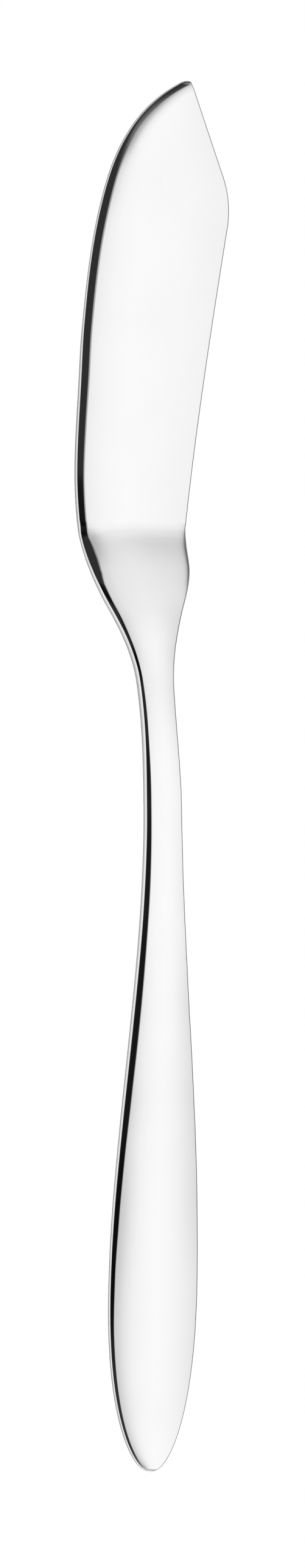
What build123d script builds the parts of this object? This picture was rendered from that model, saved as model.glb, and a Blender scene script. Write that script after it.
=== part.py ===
# Fish knife of polished steel, lying on a table with the point towards +Y.
# The flat blade has a tang that is brazed into the neck of a solid, arched handle.
# +X is the side of the cutting edge, +Z is up, the origin is under the middle of the outline.

import os
from math import acos, atan2, cos, radians, sin, tan

from build123d import *

# Blade, millimetres and degrees
blade_length = 66.8  # from the heel, where it meets the handle, to the point
spine_reach = 12.97  # from the handle's axis to the outermost part of the spine
edge_reach = 13.65  # from the handle's axis to the shoulder of the cutting edge
heel_spine = 12.77  # from the handle's axis to the spine at the heel
heel_edge = 6.06  # from the handle's axis to the cutting edge at the heel
bulge_from_heel = 7.2  # where the spine stands out furthest
shoulder_from_heel = 47.2  # where the cutting edge stands out furthest
shoulder_radius = 14.0
edge_lean = 10.6  # slant of the cutting edge below the shoulder
heel_edge_lean = 7.2  # slant of the cutting edge at the heel
heel_spine_lean = 5.0  # slant of the spine at the heel
tip_offset = 6.33  # from the handle's axis to the middle of the rounded point
tip_radius = 0.8
tip_spine_slope = 24.0  # slope of the spine where it runs into the point
spine_thickness = 1.95  # at the heel
shoulder_thickness = 1.5  # at the shoulder of the cutting edge
rim_radius = 0.55  # rounding of the upper rims, blade and handle alike
back_break = 0.4  # width of the bevel that breaks the rims of the back

# Handle
handle_length = 143.2  # from the heel to the end of the grip
flare_from_heel = 13.0  # steepest place of the flare on the spine side
flare_spine = 8.22
flare_lean = 30.5
neck_from_heel = 24.0  # where that flare ends in the neck
neck_spine = 3.87
neck_lean = 7.0
notch_from_heel = 3.4  # small hollow on the edge side
notch_edge = 5.88
lobe_from_heel = 6.6  # rounded lobe below the hollow
lobe_edge = 6.18
sweep_from_heel = 13.5  # steepest place of the sweep on the edge side
sweep_edge = 4.12
sweep_lean = 18.5
throat_from_heel = 25.0  # narrowest place on the edge side
throat_edge = 1.98
shank_from_heel = 43.5  # slimmest part of the handle
shank_width = 6.15
grip_from_heel = 116.5  # widest part of the handle
grip_width = 15.45
neck_thickness = 2.45
shank_thickness = 2.0
end_thickness = 1.5
cove_from_heel = 1.2  # where the face of the blade turns up into the neck
cove_length = 12.0  # over which the neck reaches its full thickness
taper_from_heel = 80.0  # where the grip starts to thin towards its end
bend_length = 3.0  # over which the underside leaves the table, from the heel on
arch_from_heel = 48.0  # highest place of the arch
arch_height = 3.55
end_lean = 1.0  # slant of the underside where its end comes down on the table
strip_margin = 2.0  # what the strip has to spare beside the outline cut from it

# Tang and its brazed joint
tang_length = 13.0
tang_width = 8.0
tang_thickness = 0.8
tang_corner = 1.2
tang_from_axis = 3.0  # centre of the tang, on the spine side of the handle's axis
tang_root = 2.0  # how far the tang reaches back into the blade
braze_gap = 0.1  # thickness of the film of solder

# Places worked out from the sizes
tip_y = (blade_length + handle_length) / 2
heel_y = tip_y - blade_length
axis_x = (spine_reach - edge_reach) / 2
wedge = (spine_thickness - shoulder_thickness) / (heel_spine + edge_reach)


def face_height(from_axis):
    """Height of the blade's face above its back, at a distance from the handle's axis."""
    return spine_thickness - wedge * (from_axis + heel_spine)


def slope(angle):
    """Rise for each millimetre at an angle in degrees."""
    return tan(radians(angle))


def track(knots, at):
    """Smooth curve through knots of (place, value, slope), read at one place."""
    for (a, start, slope_a), (b, end, slope_b) in zip(knots, knots[1:]):
        if at <= b:
            break
    run = b - a
    u = min(max((at - a) / run, 0.0), 1.0)
    bend_a = u * (u - 1) ** 2 * run * slope_a
    bend_b = u * u * (u - 1) * run * slope_b
    return start + (end - start) * u * u * (3 - 2 * u) + bend_a + bend_b


# Outline of the handle's two sides, as places from the heel, distances from the axis and slopes
spine_side = [
    (0, -heel_spine, slope(heel_spine_lean)),
    (flare_from_heel, -flare_spine, slope(flare_lean)),
    (neck_from_heel, -neck_spine, slope(neck_lean)),
    (shank_from_heel, -shank_width / 2, 0),
    (grip_from_heel, -grip_width / 2, 0),
]
edge_side = [
    (0, heel_edge, -slope(heel_edge_lean)),
    (notch_from_heel, notch_edge, 0),
    (lobe_from_heel, lobe_edge, 0),
    (sweep_from_heel, sweep_edge, -slope(sweep_lean)),
    (throat_from_heel, throat_edge, 0),
    (shank_from_heel, shank_width / 2, 0),
    (grip_from_heel, grip_width / 2, 0),
]

# Curves of the arched strip that the handle is cut from
cove_end = cove_from_heel + cove_length
rise = 2 * arch_height / arch_from_heel
underside = [
    (0, 0, 0),
    (bend_length, rise * bend_length / 2, rise),
    (arch_from_heel, arch_height, 0),
    (handle_length, 0, -slope(end_lean)),
]
thickness = [
    (cove_from_heel, face_height(0), 0),
    (cove_end, neck_thickness, 0),
    (shank_from_heel, shank_thickness, 0),
    (taper_from_heel, shank_thickness, 0),
    (handle_length, end_thickness, 0),
]
face_lean = [(cove_from_heel, wedge, 0), (cove_end, 0, 0)]
strip_half = [
    (0, heel_spine + strip_margin, 0),
    (throat_from_heel, grip_width / 2 + strip_margin, 0),
]


def strip_section(place):
    """Cross-section of the arched strip at a distance from the heel."""
    half = track(strip_half, place)
    floor = track(underside, place)
    top = floor + track(thickness, place)
    lean = half * track(face_lean, place)
    corners = [(-half, top + lean), (-half, floor), (half, floor), (half, top - lean)]
    with BuildSketch(Plane.XZ.offset(place - heel_y)) as outline:
        with BuildLine(Location((axis_x, 0))):
            Polyline(*corners, close=True)
        make_face()
    return outline.sketch.face()


def side_curve(knots):
    """Side of the handle's outline, drawn from knot to knot in the plan."""
    for (a, start, slope_a), (b, end, slope_b) in zip(knots, knots[1:]):
        Spline(
            (axis_x + start, heel_y - a),
            (axis_x + end, heel_y - b),
            tangents=[(slope_a, -1), (slope_b, -1)],
        )


def tang_block(clearance):
    """Block of the tang's shape along the slope of the neck, larger all round by a clearance."""
    start = face_height(-tang_from_axis) / 2
    end = track(underside, tang_length) + track(thickness, tang_length) / 2
    tilt = atan2(end - start, tang_length)
    along = Plane(
        origin=(axis_x - tang_from_axis, heel_y, start),
        x_dir=(1, 0, 0),
        z_dir=(0, -cos(tilt), sin(tilt)),
    )
    with BuildPart() as block:
        with BuildSketch(along.offset(-tang_root)):
            Rectangle(tang_width + 2 * clearance, tang_thickness + 2 * clearance)
        extrude(amount=tang_root + tang_length + clearance)
        far_face = block.faces().sort_by(Axis.Y)[0]
        fillet(far_face.edges().sort_by(Axis.X)[0::3], tang_corner + clearance)
    return block.part


def rims(piece):
    """Edges round the upper face and round the back of a piece, without those of its heel."""
    broad = piece.faces().sort_by(lambda face: face.normal_at().Z)
    heel = piece.faces().filter_by(Plane.XZ)
    return broad[-1].edges() - heel.edges(), broad[0].edges() - heel.edges()


def on_circle(centre, radius, angle):
    """Point of a circle in the plan, at an angle from +X."""
    return centre + Vector(radius * cos(angle), radius * sin(angle))


tang = tang_block(0)
tang_slot = tang_block(braze_gap)

# Blade: outline extruded, ground to a wedge, rounded along the spine and the edge, with its tang
tip = Vector(axis_x + tip_offset, tip_y - tip_radius)
shoulder = Vector(axis_x + edge_reach - shoulder_radius, heel_y + shoulder_from_heel)
to_shoulder = shoulder - tip
tip_edge_normal = atan2(to_shoulder.Y, to_shoulder.X)
tip_edge_normal += acos((tip_radius - shoulder_radius) / to_shoulder.length)
spine_normal = radians(90 + tip_spine_slope)
edge_normal = -radians(edge_lean)
# shape of the spine from its bulge to the point, as shares of the length and of the width
spine_bend = [(0.437, 0.934), (0.713, 0.774), (0.877, 0.531), (0.945, 0.32)]
heel_left = Vector(axis_x - heel_spine, heel_y)
heel_right = Vector(axis_x + heel_edge, heel_y)
spine_points = [heel_left, Vector(axis_x - spine_reach, heel_y + bulge_from_heel)]
for along_share, across_share in spine_bend:
    across = tip_offset - across_share * (tip_offset + spine_reach)
    spine_points.append(Vector(axis_x + across, heel_y + along_share * blade_length))
spine_points.append(on_circle(tip, tip_radius, spine_normal))

with BuildPart() as blade:
    with BuildSketch():
        with BuildLine():
            Spline(
                *spine_points,
                tangents=[(-slope(heel_spine_lean), 1), (1, slope(tip_spine_slope))],
            )
            tip_edge = on_circle(tip, tip_radius, tip_edge_normal)
            tip_middle = on_circle(tip, tip_radius, (spine_normal + tip_edge_normal) / 2)
            ThreePointArc(spine_points[-1], tip_middle, tip_edge)
            shoulder_top = on_circle(shoulder, shoulder_radius, tip_edge_normal)
            Line(tip_edge, shoulder_top)
            shoulder_middle = on_circle(shoulder, shoulder_radius, (tip_edge_normal + edge_normal) / 2)
            shoulder_foot = on_circle(shoulder, shoulder_radius, edge_normal)
            ThreePointArc(shoulder_top, shoulder_middle, shoulder_foot)
            Spline(
                shoulder_foot,
                heel_right,
                tangents=[(-slope(edge_lean), -1), (-slope(heel_edge_lean), -1)],
            )
            Line(heel_right, heel_left)
        make_face()
    extrude(amount=2 * spine_thickness)
    ground_face = Plane(origin=(axis_x - heel_spine, heel_y, spine_thickness), z_dir=(wedge, 0, 1))
    split(bisect_by=ground_face, keep=Keep.BOTTOM)
    upper_rim, back_rim = rims(blade)
    fillet(upper_rim, rim_radius)
    chamfer(back_rim, back_break)
    heel_face = blade.faces().sort_by(Axis.Y)[0]
    add(tang)
blade.part.label = "blade"

# Handle: outline cut from the arched strip, rounded along its rims, slotted for the tang
strip_places = [braze_gap, cove_from_heel, bend_length]
for start, end, steps in (
    (bend_length, cove_end, 3),
    (cove_end, arch_from_heel, 3),
    (arch_from_heel, handle_length, 5),
):
    strip_places += [start + (end - start) * step / steps for step in range(1, steps + 1)]

strip_sections = [strip_section(place) for place in strip_places]

with BuildPart() as handle:
    loft(sections=strip_sections)
    with BuildSketch(Plane.XY.offset(-strip_margin)):
        with BuildLine():
            side_curve(spine_side)
            EllipticalCenterArc(
                (axis_x, heel_y - grip_from_heel),
                grip_width / 2,
                handle_length - grip_from_heel,
                start_angle=180,
                arc_size=180,
            )
            side_curve(edge_side)
            Line(heel_right, heel_left)
        make_face()
    extrude(amount=arch_height + neck_thickness + 2 * strip_margin, mode=Mode.INTERSECT)
    upper_rim, back_rim = rims(handle)
    fillet(upper_rim, rim_radius)
    chamfer(back_rim, back_break)
    add(tang_slot, mode=Mode.SUBTRACT)
handle.part.label = "handle"

# Solder: a film over the heel and round the tang
with BuildPart() as braze_seam:
    extrude(heel_face, amount=braze_gap)
    add(tang_slot)
    add(blade.part, mode=Mode.SUBTRACT)
braze_seam.part.label = "braze_seam"

os.makedirs("parts", exist_ok=True)
for piece in (blade.part, handle.part, braze_seam.part):
    export_step(piece, f"parts/{piece.label}.step")
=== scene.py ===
from math import acos, atan2, cos, degrees, pi, radians, sin, sqrt, tan

import bpy
from mathutils import Matrix, Vector


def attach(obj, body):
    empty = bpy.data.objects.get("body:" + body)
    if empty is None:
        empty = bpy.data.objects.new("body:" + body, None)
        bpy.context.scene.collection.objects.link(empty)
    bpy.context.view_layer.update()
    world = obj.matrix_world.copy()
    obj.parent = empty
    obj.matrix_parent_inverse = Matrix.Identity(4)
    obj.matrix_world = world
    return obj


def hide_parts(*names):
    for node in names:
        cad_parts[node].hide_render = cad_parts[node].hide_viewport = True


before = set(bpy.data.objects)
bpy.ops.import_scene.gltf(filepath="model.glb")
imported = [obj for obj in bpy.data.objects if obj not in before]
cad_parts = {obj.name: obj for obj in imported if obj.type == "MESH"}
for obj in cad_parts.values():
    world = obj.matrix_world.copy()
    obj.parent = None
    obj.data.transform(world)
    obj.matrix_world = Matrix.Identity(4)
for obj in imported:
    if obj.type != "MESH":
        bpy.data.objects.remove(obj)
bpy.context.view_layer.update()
mm = 0.001
print("frame loaded, nodes:", sorted(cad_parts))


class Wire:
    # a socket in a node tree; sums on it add Math nodes, so 1 - mask works
    def __init__(self, tree, socket=None):
        self.tree = tree
        self.socket = socket

    def make(self, kind, settings=None, sockets=None):
        node = self.tree.nodes.new(kind)
        for name, value in (settings or {}).items():
            if name == "stops":
                setStops(node.color_ramp, value)
            else:
                setattr(node, name, value)
        for key, value in (sockets or {}).items():
            socket = pick(node.inputs, key)
            if isinstance(value, Wire):
                self.tree.links.new(value.socket, socket)
            else:
                socket.default_value = value
        shown = [socket for socket in node.outputs if socket.enabled]
        return Wire(self.tree, shown[0] if shown else None)

    def out(self, key):
        return Wire(self.tree, pick(self.socket.node.outputs, key))

    def sum(self, operation, *values):
        return self.make("ShaderNodeMath", {"operation": operation}, dict(enumerate(values)))

    def __add__(self, other):
        return self.sum("ADD", self, other)

    def __sub__(self, other):
        return self.sum("SUBTRACT", self, other)

    def __rsub__(self, other):
        return self.sum("SUBTRACT", other, self)

    def __mul__(self, other):
        return self.sum("MULTIPLY", self, other)

    def __truediv__(self, other):
        return self.sum("DIVIDE", self, other)

    def __gt__(self, other):
        return self.sum("GREATER_THAN", self, other)

    __radd__ = __add__
    __rmul__ = __mul__

    def ramp(self, low, high):
        # 0 below low, 1 above high, smooth between
        settings = {"interpolation_type": "SMOOTHSTEP"}
        return self.make("ShaderNodeMapRange", settings, {"Value": self, "From Min": low, "From Max": high})

    def profile(self, stops):
        # reads a value off a line through stops of (place, value)
        low, high = stops[0][0], stops[-1][0]
        greys = [((place - low) / (high - low), (value, value, value, 1)) for place, value in stops]
        share = self.make("ShaderNodeMapRange", None, {"Value": self, "From Min": low, "From Max": high})
        return self.make("ShaderNodeValToRGB", {"stops": greys}, {"Fac": share})


def pick(sockets, key):
    shown = [socket for socket in sockets if socket.enabled]
    if isinstance(key, int):
        return shown[key]
    return next(socket for socket in shown if socket.name == key)


def setStops(ramp, stops):
    while len(ramp.elements) < len(stops):
        ramp.elements.new(1.0)
    for element, (place, colour) in zip(ramp.elements, stops):
        element.position = place
        element.color = colour


def lean(angle):
    return tan(radians(angle))


def follow(knots, at):
    # smooth curve through knots of (place, value, slope)
    for (a, start, slopeA), (b, end, slopeB) in zip(knots, knots[1:]):
        if at <= b:
            break
    run = b - a
    u = min(max((at - a) / run, 0.0), 1.0)
    bend = u * (u - 1) ** 2 * run * slopeA + u * u * (u - 1) * run * slopeB
    return start + (end - start) * u * u * (3 - 2 * u) + bend


def steady(knots, at):
    # the same through knots of (place, value), level at each
    return follow([(place, value, 0) for place, value in knots], at)


# Blade, in millimetres and degrees, places counted from the heel
bladeSizes = {
    "length": 66.8,
    "spineReach": 12.97,
    "edgeReach": 13.65,
    "heelSpine": 12.77,
    "heelEdge": 6.06,
    "spineThickness": 1.95,
    "shoulderThickness": 1.5,
    "spineKnots": [  # place, distance from the axis, lean
        (0, -12.45, -6.0),
        (7.2, -12.86, 0.3),
        (21.8, -12.1, 3.4),
        (29.2, -11.62, 5.6),
        (47.6, -8.6, 15.2),
        (58.6, -3.91, 34.3),
        (63.1, 0.13, 50.1),
    ],
    "tipSlope": 24.0,
    "tipOffset": 6.33,
    "tipRadius": 0.8,
    "shoulderPlace": 47.2,
    "shoulderRadius": 14.0,
    "edgeLean": 10.6,
    "heelEdgeLean": 7.2,
    "spineBevel": [  # place, and depth of the bevel along the spine
        (0, 0.48), (5, 0.5), (14.5, 0.54), (24, 0.58), (46, 0.59), (55, 0.54), (60.5, 0.44), (66.8, 0.4),
    ],
    "edgeRound": [(0, 0.34), (66.8, 0.32)],
    "crown": 0.22,  # how far the middle of the face stands above its sides
    # how far the face falls off towards the spine, and over what width
    "roll": [(0, 0.23), (40, 0.2), (52, 0.15), (58, 0.15), (63, 0.19), (66.8, 0.2)],
    "rollWidth": [(0, 12.0), (40, 10.0), (52, 4.8), (58, 2.4), (66.8, 2.0)],
    "noseLength": 0.7,  # over which the point is rounded from face to back
    # share of the side that the rounding of the back takes
    "backShare": [(0, 0.4), (15, 0.4), (24, 0.42), (32, 0.64), (40, 0.72), (66.8, 0.72)],
    "steps": 120,
    "tipSteps": 26,
    "tipRun": 4.0,  # how far before the point's curve the closer stations start
}

# Handle, in millimetres and degrees, places counted from the heel
handleSizes = {
    "length": 143.2,
    "solder": 0.1,
    "spineKnots": [  # place, distance from the axis, lean
        (0, -12.45, 6.0),
        (13.0, -8.22, 30.5),
        (24.0, -3.87, 7.0),
        (43.5, -3.075, 0),
        (116.5, -7.58, 0.4),
        (128.0, -7.54, 0),
    ],
    "edgeKnots": [
        (0, 6.06, -7.2),
        (3.4, 5.96, 0),
        (6.6, 6.07, 0),
        (13.5, 4.12, -18.5),
        (25.0, 2.12, 1.0),
        (43.5, 3.06, 0.4),
        (116.5, 7.53, 0),
    ],
    "gripPlace": 116.5,
    "endFullness": 2.15,  # 2 and 0.5 give a plain half ellipse
    "endBluntness": 0.54,
    "archPlace": 48.0,
    "archHeight": 3.55,
    "bendLength": 3.0,
    "endLean": 1.0,
    "covePlace": 0.5,  # where the face starts to turn up from the blade
    "creaseLength": 1.4,
    "creaseLean": 7.0,
    "coveLength": 11.5,
    "thickness": [(13.2, 2.45), (24.0, 2.2), (43.5, 2.0), (80.0, 2.0), (143.2, 1.5)],
    "crown": [
        (0, 0.155), (4, 0.2), (9, 0.26), (13, 0.31), (18.5, 0.23), (23, 0.14), (43.5, 0.1), (59, 0.14),
        (77, 0.27), (90, 0.34), (105, 0.4), (116.5, 0.34),
    ],
    "roll": [  # how far the face falls off towards the spine
        (0, 0.17), (0.8, 0.18), (2.2, 0.44), (4, 0.38), (5.7, 0.28), (7.5, 0.16), (13, 0.03), (20, 0.0),
        (77, 0.0), (90, 0.025), (105, 0.065), (114, 0.095), (123, 0.085), (132, 0.1), (143.2, 0.12),
    ],
    "edgeRoll": [(0, 0.0), (1.3, 0.12), (4, 0.22), (8, 0.21), (12, 0.0)],  # and at the lobe's edge
    "spineBevel": [
        (0, 0.48), (2, 0.5), (4, 0.68), (5.7, 0.7), (7.5, 0.57), (9.4, 0.37), (13, 0.31), (18.5, 0.22),
        (22, 0.2), (31, 0.23), (42, 0.33), (59, 0.4), (77, 0.46), (86.5, 0.44), (96, 0.39), (105, 0.37),
        (114, 0.3), (123, 0.25), (143.2, 0.17),
    ],
    "edgeRound": [
        (0, 0.34), (1.5, 0.36), (4, 0.4), (8, 0.4), (12, 0.4), (43.5, 0.35), (114, 0.36), (143.2, 0.26),
    ],
    "backShare": 0.5,
    "backRun": 6.0,  # over which it goes over from the blade's share
    "steps": 150,
    "endSteps": 34,
    "endCrowding": 1.6,  # how much closer the stations get towards the end
    "endStop": 0.3,  # before the end, where the outline's slope is last read
}

tipY = (bladeSizes["length"] + handleSizes["length"]) / 2
heelY = tipY - bladeSizes["length"]
axisX = (bladeSizes["spineReach"] - bladeSizes["edgeReach"]) / 2
wedge = (bladeSizes["spineThickness"] - bladeSizes["shoulderThickness"]) / (
    bladeSizes["heelSpine"] + bladeSizes["edgeReach"])


def faceHeight(fromAxis):
    return bladeSizes["spineThickness"] - wedge * (fromAxis + bladeSizes["heelSpine"])


heelMiddle = (bladeSizes["heelEdge"] - bladeSizes["heelSpine"]) / 2
heelHeight = faceHeight(heelMiddle) / 2

# The section that runs along each piece
sectionSizes = {
    "roundSteps": 9,
    "faceSteps": 24,
    "backSteps": 10,
    "bevelWide": 2.0,  # times its depth
    "bevelStart": 0.8,
    "widthFit": 0.96,  # the most that roundings may take of the width and of a side
    "sideFit": 0.98,
    "edgePower": 42.0,  # how close to the edge the face falls off there
}


def sectionPoints(sizes):
    # each point says how far across it is, whether it is on the face or the back,
    # how far out into the left or right rounding it is, and how far down it
    quarter = [radians(90) * step / sizes["roundSteps"] for step in range(sizes["roundSteps"] + 1)]
    across = [(1 + cos(pi * step / sizes["faceSteps"])) / 2 for step in range(sizes["faceSteps"] + 1)]
    under = [(1 - cos(pi * step / sizes["backSteps"])) / 2 for step in range(sizes["backSteps"] + 1)]
    middle = len(under) // 2
    # the bevel leaves the face at a set slope and bends down into the side
    shares = [step / sizes["roundSteps"] for step in range(1, sizes["roundSteps"] + 1)]
    bevel = [(1 - (1 - share) ** 2, 2 * share * (1 - share) * sizes["bevelStart"] + share ** 2)
             for share in shares]
    points = [(share, 0, 0, 0, 0) for share in under[middle:]]
    points += [(1, 0, 0, sin(turn), 1 - cos(turn)) for turn in quarter[1:]]
    points += [(1, 1, 0, sin(turn), 1 - cos(turn)) for turn in quarter[::-1]]
    points += [(share, 1, 0, 0, 0) for share in across[1:]]
    points += [(0, 1, out, 0, down) for out, down in bevel]
    points += [(0, 0, sin(turn), 0, 1 - cos(turn)) for turn in quarter[::-1]]
    points += [(share, 0, 0, 0, 0) for share in under[1:middle + 1]]
    return points


sectionNames = ("across", "onFace", "outLeft", "outRight", "lower")
stationNames = ("along", "left", "right", "back", "heightLeft", "heightRight", "crown",
                "roundFaceLeft", "roundFaceRight", "roundBackLeft", "roundBackRight", "roll", "edgeRoll",
                "rollWidth", "stretchLeft", "stretchRight")


def pointCloud(name, names, rows):
    # a mesh of loose points that carries one named value for each column
    mesh = bpy.data.meshes.new(name)
    mesh.from_pydata([(0, 0, 0)] * len(rows), [], [])
    for column, label in enumerate(names):
        values = mesh.attributes.new(label, "FLOAT", "POINT")
        values.data.foreach_set("value", [float(row[column]) for row in rows])
    piece = bpy.data.objects.new(name, mesh)
    bpy.context.collection.objects.link(piece)
    return piece


def sweepTree():
    # lays the section along the stations, welds it shut and gives it its finish
    tree = bpy.data.node_groups.new("sweepSection", "GeometryNodeTree")
    for label, kind in (("Stations", "NodeSocketGeometry"), ("Section", "NodeSocketObject"),
                        ("Finish", "NodeSocketMaterial"), ("Weld distance", "NodeSocketFloat"),
                        ("Crease angle", "NodeSocketFloat")):
        tree.interface.new_socket(label, in_out="INPUT", socket_type=kind)
    tree.interface.new_socket("Piece", in_out="OUTPUT", socket_type="NodeSocketGeometry")
    start = Wire(tree)
    given = start.make("NodeGroupInput")
    stations = given.out("Stations")
    section = start.make("GeometryNodeObjectInfo", None, {"Object": given.out("Section")}).out("Geometry")
    counted = [start.make("GeometryNodeAttributeDomainSize", {"component": "MESH"}, {"Geometry": shape})
               for shape in (stations, section)]
    grid = start.make("GeometryNodeMeshGrid", None, {"Vertices X": counted[0], "Vertices Y": counted[1]})
    index = start.make("GeometryNodeInputIndex")
    laps = (index + 0.5) / counted[1]
    station = laps.sum("FLOOR", laps)
    turn = index - station * counted[1]

    def read(shape, label, place):
        value = start.make("GeometryNodeInputNamedAttribute", {"data_type": "FLOAT"}, {"Name": label})
        return start.make("GeometryNodeSampleIndex", {"data_type": "FLOAT", "domain": "POINT"}, {
            "Geometry": shape, "Value": value, "Index": place})

    at = {label: read(stations, label, station) for label in stationNames}
    on = {label: read(section, label, turn) for label in sectionNames}
    roundLeft = at["roundBackLeft"] + (at["roundFaceLeft"] - at["roundBackLeft"]) * on["onFace"]
    roundRight = at["roundBackRight"] + (at["roundFaceRight"] - at["roundBackRight"]) * on["onFace"]
    spanLeft = roundLeft * at["stretchLeft"] * (1 + (sectionSizes["bevelWide"] - 1) * on["onFace"])
    spanRight = roundRight * at["stretchRight"]
    flatLeft = at["left"] + spanLeft
    flatRight = at["right"] - spanRight
    x = flatLeft + (flatRight - flatLeft) * on["across"]
    x = x + spanRight * on["outRight"] - spanLeft * on["outLeft"]
    share = (x - at["left"]) / (at["right"] - at["left"])
    drop = (roundLeft + (roundRight - roundLeft) * on["across"]) * on["lower"]
    height = at["heightLeft"] + (at["heightRight"] - at["heightLeft"]) * share
    height = height + at["crown"] * share * (1 - share) * 4 - drop
    near = 1 - (x - flatLeft) / (at["stretchLeft"] * at["rollWidth"])
    fall = near.sum("MINIMUM", near.sum("MAXIMUM", near, 0), 1)
    height = height - at["roll"] * fall * fall * fall
    height = height - at["edgeRoll"] * share.sum("POWER", share, sectionSizes["edgePower"])
    z = at["back"] + height * on["onFace"] + drop * (1 - on["onFace"])
    place = start.make("ShaderNodeCombineXYZ", None, {"X": x, "Y": at["along"], "Z": z})
    placed = start.make("GeometryNodeSetPosition", None, {"Geometry": grid, "Position": place})
    welded = start.make("GeometryNodeMergeByDistance", None, {
        "Geometry": placed, "Distance": given.out("Weld distance")})
    smooth = start.make("GeometryNodeSetShadeSmooth", {"domain": "FACE"}, {"Geometry": welded})
    sharp = start.make("GeometryNodeInputMeshEdgeAngle").out("Unsigned Angle") > given.out("Crease angle")
    creased = start.make("GeometryNodeSetShadeSmooth", {"domain": "EDGE"}, {
        "Geometry": smooth, "Selection": sharp, "Shade Smooth": False})
    whole = start.make("GeometryNodeRealizeInstances", None, {"Geometry": creased})
    finished = start.make("GeometryNodeSetMaterial", None, {
        "Geometry": whole, "Material": given.out("Finish")})
    start.make("NodeGroupOutput", None, {"Piece": finished})
    return tree


weld = {"distance": 0.0002 * mm, "creaseAngle": 40.0}


def sweep(name, rows, section, tree, finish):
    piece = pointCloud(name, stationNames, rows)
    modifier = piece.modifiers.new("sweep", "NODES")
    modifier.node_group = tree
    values = {"Section": section, "Finish": finish, "Weld distance": weld["distance"],
              "Crease angle": radians(weld["creaseAngle"])}
    for item in tree.interface.items_tree:
        if item.item_type == "SOCKET" and item.name in values:
            modifier[item.identifier] = values[item.name]
    evaluated = piece.evaluated_get(bpy.context.evaluated_depsgraph_get())
    mesh = bpy.data.meshes.new_from_object(evaluated)
    piece.modifiers.remove(modifier)
    piece.data = mesh
    mesh.name = name
    print(name, "swept,", len(mesh.polygons), "faces")
    return piece


def slopeAt(curve, place, step=0.01):
    return (curve(place + step) - curve(place - step)) / (2 * step)


def stationRow(place, direction, left, right, back, heights, crown, faceRounds, backRounds, slopes,
               rolls=(0, 0), rollWidth=1):
    # one station in metres; roundings that would meet are drawn in to fit
    stretch = [sqrt(1 + slope * slope) for slope in slopes]
    width = right - left
    rounds = []
    for pair, wide in ((faceRounds, sectionSizes["bevelWide"]), (backRounds, 1)):
        span = pair[0] * stretch[0] * wide + pair[1] * stretch[1]
        fit = min(1.0, sectionSizes["widthFit"] * width / span) if span > 0 else 1.0
        rounds.append([value * fit for value in pair])
    for side in range(2):
        room = heights[side] - rolls[side]
        tall = rounds[0][side] + rounds[1][side]
        fit = min(1.0, sectionSizes["sideFit"] * room / tall) if tall > 0 else 1.0
        rounds[0][side] *= fit
        rounds[1][side] *= fit
    sizes = (heelY + direction * place, axisX + left, axisX + right, back, heights[0], heights[1], crown,
             rounds[0][0], rounds[0][1], rounds[1][0], rounds[1][1], *rolls, rollWidth)
    return [value * mm for value in sizes] + stretch


def capRow(place, direction, x, z):
    # every point of the section in one place, which closes the piece
    return stationRow(place, direction, x, x, z, (0, 0), 0, (0, 0), (0, 0), (0, 0))


# Blade stations
tipMiddle = Vector((bladeSizes["tipOffset"], bladeSizes["length"] - bladeSizes["tipRadius"]))
shoulder = Vector((bladeSizes["edgeReach"] - bladeSizes["shoulderRadius"], bladeSizes["shoulderPlace"]))
toShoulder = shoulder - tipMiddle
edgeNormal = atan2(toShoulder.y, toShoulder.x) + acos(
    (bladeSizes["tipRadius"] - bladeSizes["shoulderRadius"]) / toShoulder.length)
spineNormal = radians(90 + bladeSizes["tipSlope"])
tipEdge = tipMiddle + bladeSizes["tipRadius"] * Vector((cos(edgeNormal), sin(edgeNormal)))
tipSpine = tipMiddle + bladeSizes["tipRadius"] * Vector((cos(spineNormal), sin(spineNormal)))
shoulderTop = shoulder + bladeSizes["shoulderRadius"] * Vector((cos(edgeNormal), sin(edgeNormal)))
footTurn = -radians(bladeSizes["edgeLean"])
shoulderFoot = shoulder + bladeSizes["shoulderRadius"] * Vector((cos(footTurn), sin(footTurn)))
spineTrack = [(place, x, lean(angle)) for place, x, angle in bladeSizes["spineKnots"]]
spineTrack.append((tipSpine.y, tipSpine.x, 1 / lean(bladeSizes["tipSlope"])))
heelTrack = [
    (0, bladeSizes["heelEdge"], lean(bladeSizes["heelEdgeLean"])),
    (shoulderFoot.y, shoulderFoot.x, lean(bladeSizes["edgeLean"])),
]


def tipCurve(place, side):
    rise = min(place - tipMiddle.y, bladeSizes["tipRadius"])
    return tipMiddle.x + side * sqrt(bladeSizes["tipRadius"] ** 2 - rise ** 2)


def bladeSpine(place):
    if place > tipSpine.y:
        return tipCurve(place, -1)
    return follow(spineTrack, place)


def bladeEdge(place):
    if place > tipEdge.y:
        return tipCurve(place, 1)
    if place > shoulderTop.y:
        share = (place - shoulderTop.y) / (tipEdge.y - shoulderTop.y)
        return shoulderTop.x + share * (tipEdge.x - shoulderTop.x)
    if place > shoulderFoot.y:
        return shoulder.x + sqrt(bladeSizes["shoulderRadius"] ** 2 - (place - shoulder.y) ** 2)
    return follow(heelTrack, place)


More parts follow.
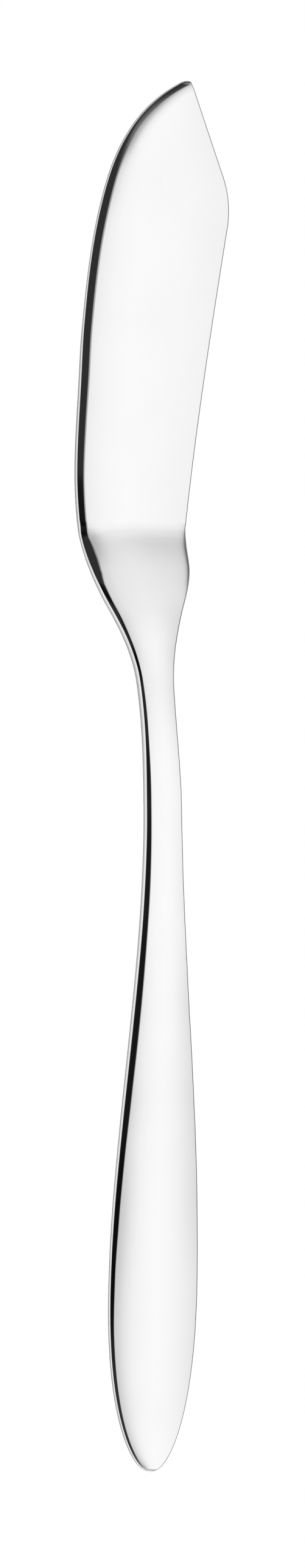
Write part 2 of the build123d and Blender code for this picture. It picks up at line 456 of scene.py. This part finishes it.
def bladeRow(place):
    left = bladeSpine(place)
    right = bladeEdge(place)
    spineBevel = steady(bladeSizes["spineBevel"], place)
    edgeRound = steady(bladeSizes["edgeRound"], place)
    # the point is rounded off from face to back as well
    toEnd = min((bladeSizes["length"] - place) / bladeSizes["noseLength"], 1.0)
    nose = sqrt(1 - (1 - toEnd) ** 2)
    back = (1 - nose) * faceHeight(left) / 2
    heights = [nose * faceHeight(side) for side in (left, right)]
    slopes = (slopeAt(bladeSpine, min(place, tipSpine.y)), slopeAt(bladeEdge, min(place, tipEdge.y)))
    broad = nose * (right - left) / (bladeSizes["heelSpine"] + bladeSizes["edgeReach"])
    crown = broad * bladeSizes["crown"]
    roll = nose * steady(bladeSizes["roll"], place)
    rollWidth = steady(bladeSizes["rollWidth"], place)
    heights = [height - crown for height in heights]
    faceRounds = (nose * spineBevel, nose * edgeRound)
    walls = (heights[0] - roll - faceRounds[0], heights[1] - faceRounds[1])
    backShare = steady(bladeSizes["backShare"], place)
    backRounds = [backShare * wall for wall in walls]
    return stationRow(place, 1, left, right, back, heights, crown, faceRounds, backRounds, slopes,
                      (roll, 0), rollWidth)


def bladeRows():
    straight = tipSpine.y - bladeSizes["tipRun"]
    places = [straight * step / bladeSizes["steps"] for step in range(bladeSizes["steps"])]
    for step in range(bladeSizes["tipSteps"]):
        turn = radians(90) * step / bladeSizes["tipSteps"]
        places.append(straight + (bladeSizes["length"] - straight) * sin(turn))
    rows = [capRow(0, 1, heelMiddle, heelHeight)]
    rows += [bladeRow(place) for place in places]
    tipX = bladeSizes["tipOffset"]
    rows.append(capRow(bladeSizes["length"], 1, tipX, faceHeight(tipX) / 2))
    return rows


# Handle stations
rise = 2 * handleSizes["archHeight"] / handleSizes["archPlace"]
handleSpineTrack = [(place, x, lean(angle)) for place, x, angle in handleSizes["spineKnots"]]
handleEdgeTrack = [(place, x, lean(angle)) for place, x, angle in handleSizes["edgeKnots"]]
archTrack = [
    (0, 0, 0),
    (handleSizes["bendLength"], rise * handleSizes["bendLength"] / 2, rise),
    (handleSizes["archPlace"], handleSizes["archHeight"], 0),
    (handleSizes["length"], 0, -lean(handleSizes["endLean"])),
]
creaseRise = lean(handleSizes["creaseLean"])
thicknessTrack = [
    (handleSizes["covePlace"], faceHeight(0), 0),
    (handleSizes["covePlace"] + handleSizes["creaseLength"],
     faceHeight(0) + creaseRise * handleSizes["creaseLength"] / 2, creaseRise),
] + [(place, value, 0) for place, value in handleSizes["thickness"]]
leanTrack = [(handleSizes["covePlace"], wedge), (handleSizes["covePlace"] + handleSizes["coveLength"], 0)]


def ovalShare(place):
    beyond = max(0.0, place - handleSizes["gripPlace"]) / (handleSizes["length"] - handleSizes["gripPlace"])
    return max(0.0, 1 - beyond ** handleSizes["endFullness"]) ** handleSizes["endBluntness"]


def handleSpine(place):
    return ovalShare(place) * follow(handleSpineTrack, place)


def handleEdge(place):
    return ovalShare(place) * follow(handleEdgeTrack, place)


def handleRow(place):
    left = handleSpine(place)
    right = handleEdge(place)
    crown = ovalShare(place) ** 2 * steady(handleSizes["crown"], place)
    thickness = follow(thicknessTrack, place)
    tilt = steady(leanTrack, place)
    endRound = thickness / 2
    toEnd = min((handleSizes["length"] - place) / endRound, 1.0)
    nose = sqrt(1 - (1 - toEnd) ** 2)
    back = follow(archTrack, place) + (1 - nose) * endRound
    heights = [nose * (thickness - tilt * side - crown) for side in (left, right)]
    faceRounds = [nose * steady(handleSizes[side], place) for side in ("spineBevel", "edgeRound")]
    rolls = [steady(handleSizes[side], place) for side in ("roll", "edgeRoll")]
    walls = [height - roll - faceRound for height, roll, faceRound in zip(heights, rolls, faceRounds)]
    heelShare = bladeSizes["backShare"][0][1]
    backShare = steady([(0, heelShare), (handleSizes["backRun"], handleSizes["backShare"])], place)
    backRounds = [backShare * wall for wall in walls]
    slopePlace = min(place, handleSizes["length"] - handleSizes["endStop"])
    slopes = [slopeAt(curve, slopePlace) for curve in (handleSpine, handleEdge)]
    return stationRow(place, -1, left, right, back, heights, nose * crown, faceRounds, backRounds, slopes,
                      rolls, (right - left) / 2)


def handleRows():
    first = handleSizes["solder"]
    grip = handleSizes["gripPlace"]
    places = [first + (grip - first) * step / handleSizes["steps"] for step in range(handleSizes["steps"])]
    for step in range(handleSizes["endSteps"]):
        turn = radians(90) * (1 - (1 - step / handleSizes["endSteps"]) ** handleSizes["endCrowding"])
        places.append(grip + (handleSizes["length"] - grip) * sin(turn))
    rows = [capRow(first, -1, heelMiddle, heelHeight)]
    rows += [handleRow(place) for place in places]
    rows.append(capRow(handleSizes["length"], -1, 0, handleSizes["thickness"][-1][1] / 2))
    return rows[::-1]  # towards +Y like the blade's, so the faces look outwards


def seamRows():
    ends = (handleSizes["solder"], 0)
    caps = [capRow(place, -1, heelMiddle, heelHeight) for place in ends]
    return [caps[0], handleRow(ends[0]), handleRow(ends[1]), caps[1]]


# Mirror polish: fine lines along the knife, cloudy handling marks and a few stray scratches
steelLook = {
    "colour": (0.79, 0.79, 0.79, 1),
    "dulled": (0.775, 0.775, 0.775, 1),
    "roughness": 0.055,
    "lineRoughness": 0.03,
    "cloudRoughness": 0.03,
    "scratchRoughness": 0.06,
    "lineDepth": 0.004,
    "lineBump": 0.05 * mm,
    "lineScale": (9000, 140, 9000),
    "lineDetail": 3.0,
    "cloudScale": 70.0,
    "cloudDetail": 4.0,
    "cloudFineness": 0.55,
    "cloudSpread": (0.4, 0.75),
    "scratchTurn": 24.0,
    "scratchScale": (1400, 60, 1400),
    "scratchDetail": 1.0,
    "scratchSpread": (0.66, 0.74),
    "scratchPatches": (0.45, 0.7),
}


def polishedSteel(look):
    material = bpy.data.materials.new("polishedSteel")
    material.use_nodes = True
    tree = material.node_tree
    tree.nodes.clear()
    start = Wire(tree)
    spot = start.make("ShaderNodeTexCoord").out("Object")
    along = start.make("ShaderNodeMapping", None, {"Vector": spot, "Scale": look["lineScale"]})
    lines = start.make("ShaderNodeTexNoise", None, {
        "Vector": along, "Scale": 1.0, "Detail": look["lineDetail"]})
    clouds = start.make("ShaderNodeTexNoise", None, {
        "Vector": spot, "Scale": look["cloudScale"], "Detail": look["cloudDetail"],
        "Roughness": look["cloudFineness"]})
    slanted = start.make("ShaderNodeMapping", None, {
        "Vector": spot, "Rotation": (0, 0, radians(look["scratchTurn"])), "Scale": look["scratchScale"]})
    scratches = start.make("ShaderNodeTexNoise", None, {
        "Vector": slanted, "Scale": 1.0, "Detail": look["scratchDetail"]})
    stray = scratches.ramp(*look["scratchSpread"]) * clouds.ramp(*look["scratchPatches"])
    cloud = clouds.ramp(*look["cloudSpread"])
    roughness = (look["roughness"] + (lines - 0.5) * look["lineRoughness"]
                 + cloud * look["cloudRoughness"] + stray * look["scratchRoughness"])
    colour = start.make("ShaderNodeMix", {"data_type": "RGBA"}, {
        "Factor": cloud, "A": look["colour"], "B": look["dulled"]})
    bump = start.make("ShaderNodeBump", None, {
        "Height": lines + stray, "Strength": look["lineDepth"], "Distance": look["lineBump"]})
    steel = start.make("ShaderNodeBsdfPrincipled", None, {
        "Base Color": colour, "Metallic": 1.0, "Roughness": roughness, "Normal": bump})
    start.make("ShaderNodeOutputMaterial", None, {"Surface": steel})
    return material


# Solder: polished with the steel, so that the joint hardly shows
solderLook = {
    "colour": (0.78, 0.78, 0.775, 1),
    "bright": (0.79, 0.79, 0.787, 1),
    "roughness": 0.06,
    "grainRoughness": 0.02,
    "grainScale": 900.0,
    "grainDetail": 4.0,
}


def silverSolder(look):
    material = bpy.data.materials.new("silverSolder")
    material.use_nodes = True
    tree = material.node_tree
    tree.nodes.clear()
    start = Wire(tree)
    spot = start.make("ShaderNodeTexCoord").out("Object")
    grain = start.make("ShaderNodeTexNoise", None, {
        "Vector": spot, "Scale": look["grainScale"], "Detail": look["grainDetail"]})
    colour = start.make("ShaderNodeMix", {"data_type": "RGBA"}, {
        "Factor": grain, "A": look["colour"], "B": look["bright"]})
    roughness = look["roughness"] + (grain - 0.5) * look["grainRoughness"]
    solder = start.make("ShaderNodeBsdfPrincipled", None, {
        "Base Color": colour, "Metallic": 1.0, "Roughness": roughness})
    start.make("ShaderNodeOutputMaterial", None, {"Surface": solder})
    return material


steel = polishedSteel(steelLook)
solder = silverSolder(solderLook)
section = pointCloud("section", sectionNames, sectionPoints(sectionSizes))
tree = sweepTree()
blade = sweep("bladeSteel", bladeRows(), section, tree, steel)
handle = sweep("handleSteel", handleRows(), section, tree, steel)
seam = sweep("solderSeam", seamRows(), section, tree, solder)
bpy.data.objects.remove(section)
for piece, node, slot in ((blade, "blade", "polished_steel"), (handle, "handle", "polished_steel"),
                          (seam, "braze_seam", "silver_solder")):
    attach(piece, "root")
    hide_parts(node)
print("pieces placed")

# Plain pale floor
floorLook = {
    "size": 12.0,
    "below": 0.05 * mm,
    "colour": (0.86, 0.86, 0.86, 1),
    "roughness": 0.9,
    "glow": 0.15,
    "seen": 1.0,  # plain white to the camera, like the backdrop
}


def paleFloor(look):
    half = look["size"] / 2
    mesh = bpy.data.meshes.new("floor")
    corners = [(-half, -half), (half, -half), (half, half), (-half, half)]
    mesh.from_pydata([(x, y, -look["below"]) for x, y in corners], [], [(0, 1, 2, 3)])
    floor = bpy.data.objects.new("floor", mesh)
    bpy.context.collection.objects.link(floor)
    material = bpy.data.materials.new("paleFloor")
    material.use_nodes = True
    tree = material.node_tree
    tree.nodes.clear()
    start = Wire(tree)
    paper = start.make("ShaderNodeBsdfPrincipled", None, {
        "Base Color": look["colour"], "Roughness": look["roughness"], "Specular IOR Level": 0.0,
        "Emission Color": (1, 1, 1, 1), "Emission Strength": look["glow"]})
    clear = start.make("ShaderNodeEmission", None, {"Color": (1, 1, 1, 1), "Strength": look["seen"]})
    seen = start.make("ShaderNodeLightPath").out("Is Camera Ray")
    mixed = start.make("ShaderNodeMixShader", None, {0: seen, 1: paper, 2: clear})
    start.make("ShaderNodeOutputMaterial", None, {"Surface": mixed})
    mesh.materials.append(material)


# Studio: one soft box high on the edge side of a dark room, a low glow round the rest of it
studio = {
    "strength": 1.21,
    "across": [  # degrees from overhead towards +X, and brightness
        (-30, 0.0), (-14, 0.0), (-8, 0.22), (0, 0.46), (8, 0.47), (12, 0.49), (15, 0.55), (18, 0.68),
        (20, 0.8), (23, 0.92), (26, 0.97), (30, 1.0), (33, 0.98), (36, 0.93), (39, 0.85), (42, 0.76),
        (45, 0.63), (48, 0.45), (52, 0.2), (58, 0.07), (65, 0.0),
    ],
    "along": [  # degrees towards +Y, and brightness
        (-60, 0.0), (-42, 0.75), (-25, 1.0), (0, 1.0), (6, 0.95), (12, 0.87), (20, 0.82), (28, 0.68),
        (34, 0.4), (40, 0.12), (46, 0.0),
    ],
    "dark": [  # degrees towards +Y, and brightness of the room itself
        (-60, 0.03), (-18, 0.04), (-14, 0.034), (-11, 0.012), (-8, 0.003), (-5, 0.006), (-3, 0.01),
        (-1, 0.01), (1, 0.014), (2.6, 0.034), (60, 0.036),
    ],
    "lowGlow": 0.6,  # brightness all round the room, near the floor
    "lowDim": 0.3,  # taken off it towards +X and +Y
    "dimSpread": (0.1, 0.7),  # these spreads are parts of a direction of length 1
    "lowTop": (18.0, 34.0),  # heights in degrees, between which it fades out
    "lowLift": 13.0,  # degrees that they are higher away from the soft box
    "liftSpreadX": (-0.1, 0.2),
    "liftSpreadY": (0.1, 0.6),
    "backdrop": 1.0,
    "keyPower": 8.5,
    "keyFrom": (0.55, -0.15, 0.85),
    "keySize": 0.5,
}


def studioWorld(look):
    world = bpy.data.worlds.new("studio")
    bpy.context.scene.world = world
    world.use_nodes = True
    tree = world.node_tree
    tree.nodes.clear()
    start = Wire(tree)
    way = start.make("ShaderNodeTexCoord").out("Generated")
    split = start.make("ShaderNodeSeparateXYZ", None, {"Vector": way})
    x, y, z = split.out("X"), split.out("Y"), split.out("Z")
    over = x.sum("ARCTAN2", x, z) * degrees(1)
    along = y.sum("ARCSINE", y) * degrees(1)
    up = z.sum("ARCSINE", z) * degrees(1)
    box = over.profile(look["across"]) * along.profile(look["along"]) * look["strength"]
    dim = x.sum("MAXIMUM", x.ramp(*look["dimSpread"]), y.ramp(*look["dimSpread"])) * look["lowDim"]
    away = x.sum("MAXIMUM", 1 - x.ramp(*look["liftSpreadX"]), (0 - y).ramp(*look["liftSpreadY"]))
    lift = away * look["lowLift"]
    low = (1 - (up - lift).ramp(*look["lowTop"])) * (look["lowGlow"] - dim)
    light = box + low + along.profile(look["dark"])
    room = start.make("ShaderNodeBackground", None, {"Color": (1, 1, 1, 1), "Strength": light})
    plain = start.make("ShaderNodeBackground", None, {"Color": (1, 1, 1, 1), "Strength": look["backdrop"]})
    seen = start.make("ShaderNodeLightPath").out("Is Camera Ray")
    mixed = start.make("ShaderNodeMixShader", None, {0: seen, 1: room, 2: plain})
    start.make("ShaderNodeOutputWorld", None, {"Surface": mixed})


def keyLight(look):
    # lights the floor from the same side and stays out of the steel's reflections
    data = bpy.data.lights.new("key", "AREA")
    data.energy = look["keyPower"]
    data.size = look["keySize"]
    lamp = bpy.data.objects.new("key", data)
    bpy.context.collection.objects.link(lamp)
    place = Vector(look["keyFrom"])
    lamp.matrix_world = Matrix.Translation(place) @ place.to_track_quat("Z", "Y").to_matrix().to_4x4()
    lamp.visible_glossy = False


# Camera above the spine side, the knife upright in the frame
cameraSizes = {
    "tilt": 30.0,
    "lens": 250.0,
    "sensor": 36.0,
    "frameHeight": 236.5,
    "middle": (0.523, -1.262),
    "clip": (0.1, 20.0),  # metres
}


def photoCamera(sizes):
    data = bpy.data.cameras.new("camera")
    data.sensor_width = sizes["sensor"]
    data.lens = sizes["lens"]
    distance = sizes["lens"] / data.sensor_width * sizes["frameHeight"] * mm
    data.clip_start, data.clip_end = sizes["clip"]
    camera = bpy.data.objects.new("camera", data)
    bpy.context.collection.objects.link(camera)
    tilt = radians(sizes["tilt"])
    back = Vector((-sin(tilt), 0, cos(tilt)))
    across = Vector((cos(tilt), 0, sin(tilt)))
    middle = Vector((sizes["middle"][0] * mm, sizes["middle"][1] * mm, 0))
    turned = Matrix((across, (0, 1, 0), back)).transposed().to_4x4()
    camera.matrix_world = Matrix.Translation(middle + back * distance) @ turned
    bpy.context.scene.camera = camera


paleFloor(floorLook)
studioWorld(studio)
keyLight(studio)
photoCamera(cameraSizes)
bpy.context.scene.view_settings.view_transform = "Standard"
print("stage, light and camera set")
